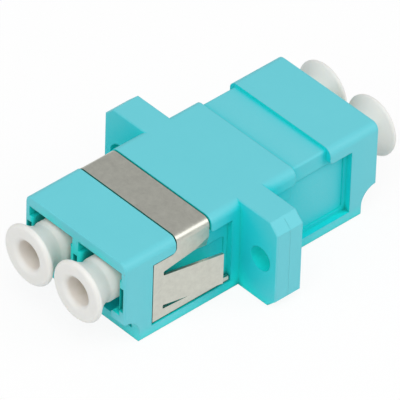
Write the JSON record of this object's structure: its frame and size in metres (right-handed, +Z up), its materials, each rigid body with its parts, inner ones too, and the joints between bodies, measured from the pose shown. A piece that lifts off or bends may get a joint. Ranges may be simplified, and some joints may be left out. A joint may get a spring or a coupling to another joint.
{
  "type": "lc duplex fibre adapter",
  "caption": "Flanged duplex fibre adapter in aqua plastic with a sprung metal panel clip and white push-in dust caps in its ports.",
  "frame": {"origin": "on the surface the adapter rests on, under the middle of the flange", "axes": "+Y along the fibre axis from the clip half to the plain half, +X across the two ports, +Z up from the latch side"},
  "size_m": [0.022, 0.0348, 0.0093],
  "materials": {
    "housing": "moulded aqua plastic, fine satin",
    "holder": "moulded aqua plastic, fine satin",
    "zirconia": "polished white ceramic",
    "clip": "rolled stainless strip",
    "cap": "soft translucent white"
  },
  "bodies": {
    "adapter": {"housing_front": "housing", "housing_rear": "housing", "sleeve_holder_front": "holder", "sleeve_holder_rear": "holder", "split_sleeve_left": "zirconia", "split_sleeve_right": "zirconia", "panel_clip": "clip"},
    "cap_front_left": {"dust_cap_front_left": "cap"},
    "cap_front_right": {"dust_cap_front_right": "cap"},
    "cap_rear_left": {"dust_cap_rear_left": "cap"},
    "cap_rear_right": {"dust_cap_rear_right": "cap"}
  },
  "joints": [
    {"name": "cap_front_left_pull", "type": "slide", "parent": "adapter", "child": "cap_front_left", "axis": [0, -1, 0], "range_m": [0, 0.012]},
    {"name": "cap_front_right_pull", "type": "slide", "parent": "adapter", "child": "cap_front_right", "axis": [0, -1, 0], "range_m": [0, 0.012]},
    {"name": "cap_rear_left_pull", "type": "slide", "parent": "adapter", "child": "cap_rear_left", "axis": [0, 1, 0], "range_m": [0, 0.012]},
    {"name": "cap_rear_right_pull", "type": "slide", "parent": "adapter", "child": "cap_rear_right", "axis": [0, 1, 0], "range_m": [0, 0.012]}
  ]
}
